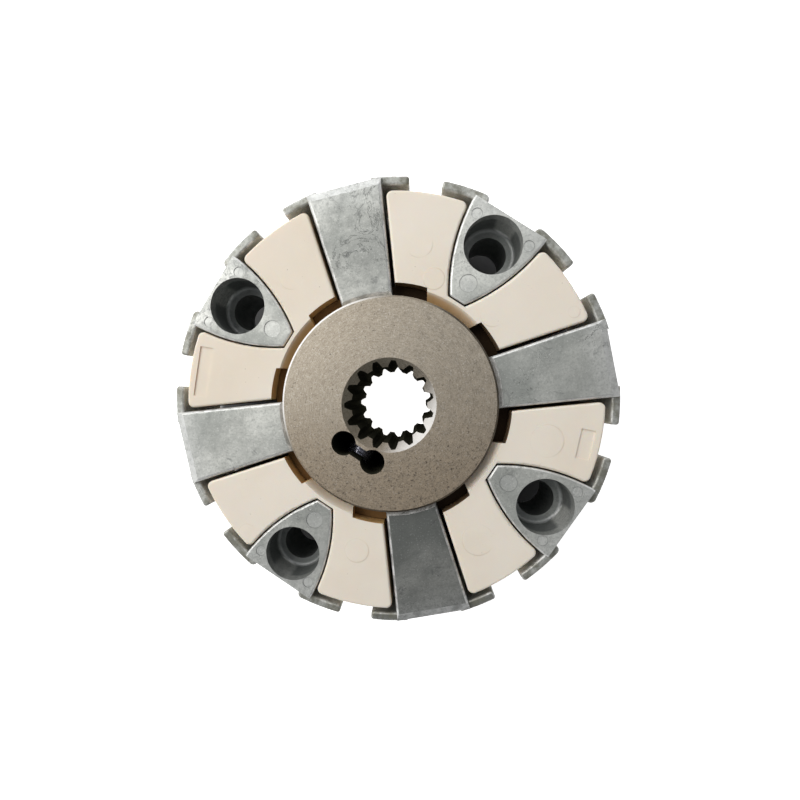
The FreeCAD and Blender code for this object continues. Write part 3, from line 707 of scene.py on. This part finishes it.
def cut_mesh(mesh, place, normal, clear_inner=False):
    everything = mesh.verts[:] + mesh.edges[:] + mesh.faces[:]
    return bmesh.ops.bisect_plane(mesh, geom=everything, plane_co=place, plane_no=normal,
                                  clear_inner=clear_inner)


def keep_sector(mesh, low, high):
    """Cut away what lies outside two angles about the shaft axis, and close the cuts."""
    for angle, keep in ((low, 1.0), (high, -1.0)):
        normal = Vector((-math.sin(angle), math.cos(angle), 0.0)) * keep
        cut = cut_mesh(mesh, (0, 0, 0), normal, clear_inner=True)
        edges = [item for item in cut["geom_cut"] if isinstance(item, bmesh.types.BMEdge)]
        bmesh.ops.holes_fill(mesh, edges=edges)


def sector_piece(index, source, material):
    """One eighth of the element, cut finely across its blending direction."""
    low = 2 * math.pi * index / SECTORS
    high = low + 2 * math.pi / SECTORS
    middle = (low + high) / 2
    across = Vector((-math.sin(middle), math.cos(middle), 0.0))
    towards = 1.0 if index % 2 == 0 else -1.0
    mesh = bmesh.new()
    mesh.from_mesh(source)
    bmesh.ops.remove_doubles(mesh, verts=mesh.verts, dist=WELD_DISTANCE)
    keep_sector(mesh, low, high)
    span = BLEND_END - BLEND_START
    for step in range(1, BLEND_SLICES):
        here = (BLEND_START + span * step / BLEND_SLICES) * towards
        cut_mesh(mesh, across * here, across)
    mesh.normal_update()
    for face in mesh.faces:
        face.smooth = True
    for edge in mesh.edges:
        edge.smooth = len(edge.link_faces) == 2 and smooth_across(*edge.link_faces)
    data = bpy.data.meshes.new("element_sector_%d" % (index + 1))
    mesh.to_mesh(data)
    mesh.free()
    piece = add_mesh_object(data)
    paint(piece, material)
    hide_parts("elastic_element")
    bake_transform(piece)


def build_element(material):
    source = frame["nodes"]["elastic_element"].data
    for index in range(SECTORS):
        sector_piece(index, source, material)


# The clamp screw: a real thread along the same axis, in the place of the plain CAD screw.
# The axis runs outwards from the shaft, halfway between -X and -Y.

SCREW_RADIUS = 0.008
SCREW_END_CHAMFER = 0.0015
THREAD_PITCH = 0.002
THREAD_DEPTH = 0.00115
THREAD_CREST_SHARE = 0.12
THREAD_FLANK_SHARE = 0.76
THREAD_TURN_STEPS = 48
THREAD_ROWS_PER_TURN = 8
THREAD_TAPER_LENGTH = 0.0016
THREAD_TAPER_SLOPE = 0.9
THREAD_SMOOTH_ANGLE = math.radians(40.0)
KEY_SIDES = 6
KEY_REACH = 0.0046
KEY_DEPTH = 0.008
UP = Vector((0.0, 0.0, 1.0))
SCREW_DIRECTION = Vector((-1.0, -1.0, 0.0)).normalized()
SCREW_SIDEWAYS = UP.cross(SCREW_DIRECTION)


def clamp_screw_axis():
    """Start and end of the screw along its axis, and its height, from the CAD screw's box."""
    low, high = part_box("clamp_screw")
    corner = (SCREW_RADIUS - SCREW_END_CHAMFER) * math.sqrt(0.5)
    start = abs((high.x - corner) / SCREW_DIRECTION.x)
    end = abs((low.x + corner) / SCREW_DIRECTION.x)
    return start, end, (low.z + high.z) / 2


def screw_point(along, height, reach, angle):
    """A point at a distance from the screw's axis, at an angle around it."""
    return (SCREW_DIRECTION * along + UP * height
            + SCREW_SIDEWAYS * (reach * math.cos(angle)) + UP * (reach * math.sin(angle)))


def thread_reach(along, length, turn):
    """Distance of the thread's surface from the axis."""
    phase = (along / THREAD_PITCH + turn) % 1.0
    crest = (abs(2.0 * phase - 1.0) - THREAD_CREST_SHARE) / THREAD_FLANK_SHARE
    reach = SCREW_RADIUS - THREAD_DEPTH * (1.0 - min(1.0, max(0.0, crest)))
    start_taper = max(0.0, THREAD_TAPER_LENGTH - along)
    end_taper = max(0.0, along - (length - THREAD_TAPER_LENGTH))
    return reach - (start_taper + end_taper) * THREAD_TAPER_SLOPE


def thread_mesh(name):
    """A threaded rod with a six-sided key socket in its outer end."""
    start, end, height = clamp_screw_axis()
    length = end - start
    rows = int(length / THREAD_PITCH * THREAD_ROWS_PER_TURN)
    steps = THREAD_TURN_STEPS
    points = []
    for row in range(rows + 1):
        along = length * row / rows
        for step in range(steps):
            turn = step / steps
            reach = thread_reach(along, length, turn)
            points.append(screw_point(start + along, height, reach, 2 * math.pi * turn))
    socket = len(points)
    for depth in (0.0, KEY_DEPTH):
        for side in range(KEY_SIDES):
            points.append(screw_point(end - depth, height, KEY_REACH, 2 * math.pi * side / KEY_SIDES))

    faces = []
    for row in range(rows):
        for step in range(steps):
            a = row * steps + step
            b = row * steps + (step + 1) % steps
            faces.append((a, b, b + steps, a + steps))
    faces.append(tuple(range(steps))[::-1])
    last = rows * steps
    per_side = steps // KEY_SIDES
    for side in range(KEY_SIDES):
        corner = socket + side
        next_corner = socket + (side + 1) % KEY_SIDES
        stretch = [last + (side * per_side + k) % steps for k in range(per_side + 1)]
        faces.append(tuple(stretch + [next_corner, corner]))
        faces.append((corner, next_corner, next_corner + KEY_SIDES, corner + KEY_SIDES))
    faces.append(tuple(socket + KEY_SIDES + side for side in range(KEY_SIDES)))

    data = bpy.data.meshes.new(name)
    data.from_pydata([tuple(point) for point in points], [], faces)
    data.validate()
    mesh = bmesh.new()
    mesh.from_mesh(data)
    bmesh.ops.recalc_face_normals(mesh, faces=mesh.faces)
    mesh.to_mesh(data)
    mesh.free()
    data.shade_smooth()
    data.set_sharp_from_angle(angle=THREAD_SMOOTH_ANGLE)
    return data


def thread_piece(material):
    piece = add_mesh_object(thread_mesh("clamp_screw_thread"))
    paint(piece, material)
    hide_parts("clamp_screw")
    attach(piece, "hub_side")


# Finishes of the CAD pieces that stay as they are, for claws 1 to 4. The tone is painted light
# and shade: how much lighter or darker each claw's cast skin is painted for how light falls on it.
# The lower the second number of a radial claw, the more of it is cracked.

RADIAL_CLAW_LIGHT_AND_CRACKS = [(0.90, 0.44), (0.76, 0.37), (0.88, 0.50), (0.42, 0.50)]
AXIAL_CLAW_LIGHT_TONES = [1.08, 0.88, 0.86, 0.94]
RADIAL_CLAW_STAIN = 0.7
AXIAL_CLAW_STAIN = 0.35
CLAW_SPACING_DEG = 360.0 / CLAWS_PER_SIDE
FIRST_AXIAL_CLAW_DEG = 45.0


def finish_cad_pieces():
    nodes = frame["nodes"]
    paint(nodes["hub"], turned_steel("hub_turned_steel"))
    screw_skin = dark_steel("screw_black_steel")
    for number in range(1, CLAWS_PER_SIDE + 1):
        turn = CLAW_SPACING_DEG * (number - 1)
        tone, cracked = RADIAL_CLAW_LIGHT_AND_CRACKS[number - 1]
        shift = (0.37 * number, 0.11 * number, 0.53)
        skin = cast_aluminium("radial_claw_skin_%d" % number, tone, shift, RADIAL_CLAW_STAIN,
                              turn, [], cracked)
        paint(nodes["radial_claw_%d" % number], skin)
        tone = AXIAL_CLAW_LIGHT_TONES[number - 1]
        shift = (0.71 * number, 0.29, 0.17 * number)
        skin = cast_aluminium("axial_claw_skin_%d" % number, tone, shift, AXIAL_CLAW_STAIN,
                              turn + FIRST_AXIAL_CLAW_DEG, EJECTOR_MARKS)
        paint(nodes["axial_claw_%d" % number], skin)
        paint(nodes["radial_claw_screw_%d" % number], screw_skin)


# Stage, lights and camera

LIGHT_TARGET = (0, 0, 0.06)
SKY_COLOR = rgb(0.95, 0.97, 1.0)
SKY_BRIGHT_DIRECTION = (-0.64, 0.64, 0.42)
SKY_SLOPE_RANGE = (-0.5, 0.9)
SKY_STRENGTH_RANGE = (0.17, 0.66)


def floor_plane(material):
    data = bpy.data.meshes.new("floor")
    half = FLOOR_SIDE / 2
    corners = [(-half, -half, 0), (half, -half, 0), (half, half, 0), (-half, half, 0)]
    data.from_pydata(corners, [], [(0, 1, 2, 3)])
    made = add_mesh_object(data)
    paint(made, material)
    return made


def area_light(name, place, size, power, color):
    data = bpy.data.lights.new(name, "AREA")
    data.shape = "DISK"
    data.size = size
    data.energy = power
    data.color = color
    light = bpy.data.objects.new(name, data)
    light.location = place
    direction = Vector(LIGHT_TARGET) - Vector(place)
    light.rotation_euler = direction.to_track_quat("-Z", "Y").to_euler()
    bpy.context.scene.collection.objects.link(light)


def soft_room():
    """A soft sky, brighter towards the upper left."""
    world = bpy.data.worlds.new("soft_room")
    world.use_nodes = True
    nodes = world.node_tree.nodes
    links = world.node_tree.links
    background = nodes["Background"]
    background.inputs["Color"].default_value = SKY_COLOR
    direction = nodes.new("ShaderNodeTexCoord").outputs["Generated"]
    slope = nodes.new("ShaderNodeVectorMath")
    slope.operation = "DOT_PRODUCT"
    slope.inputs[1].default_value = SKY_BRIGHT_DIRECTION
    strength = nodes.new("ShaderNodeMapRange")
    strength.interpolation_type = "SMOOTHSTEP"
    for value, socket in zip(SKY_SLOPE_RANGE + SKY_STRENGTH_RANGE, strength.inputs[1:5]):
        socket.default_value = value
    links.new(direction, slope.inputs[0])
    links.new(slope.outputs["Value"], strength.inputs[0])
    links.new(strength.outputs[0], background.inputs["Strength"])
    bpy.context.scene.world = world


def build_lights():
    soft_room()
    area_light("key_upper_left", place=(-0.85, 0.78, 1.20), size=1.2, power=17.0,
               color=(1.0, 0.985, 0.96))
    area_light("fill_top", place=(0.10, 0.75, 0.65), size=0.5, power=1.5,
               color=(0.97, 0.985, 1.0))


def camera_rotation():
    """Rotation from the object's frame to the camera's."""
    roll = Matrix.Rotation(math.radians(ROLL_DEG), 3, "Z")
    tilt_y = Matrix.Rotation(math.radians(TILT_Y_DEG), 3, "Y")
    tilt_x = Matrix.Rotation(math.radians(TILT_X_DEG), 3, "X")
    return tilt_x @ tilt_y @ roll


def build_camera():
    data = bpy.data.cameras.new("photo_camera")
    data.sensor_width = SENSOR_MM
    data.sensor_fit = "HORIZONTAL"
    data.lens = FOCAL_PIXELS / PHOTO_SIDE * SENSOR_MM
    data.shift_x = (PHOTO_SIDE / 2 - CENTRE_PIXEL_X) / PHOTO_SIDE
    data.shift_y = (CENTRE_PIXEL_Y - PHOTO_SIDE / 2) / PHOTO_SIDE
    data.clip_start = CLIP_START
    data.clip_end = CLIP_END
    camera = bpy.data.objects.new(data.name, data)
    back = camera_rotation().transposed()
    place = back @ Vector((-CAMERA_SIDE_X, -CAMERA_SIDE_Y, CAMERA_DISTANCE))
    camera.matrix_world = Matrix.Translation(place) @ back.to_4x4()
    bpy.context.scene.collection.objects.link(camera)
    bpy.context.scene.camera = camera


finish_cad_pieces()
build_element(elastomer("element_cream_elastomer"))
thread_piece(thread_steel("clamp_thread_steel"))
floor = floor_plane(pale_floor("pale_floor"))
build_lights()
build_camera()
bpy.context.scene.view_settings.view_transform = "Standard"
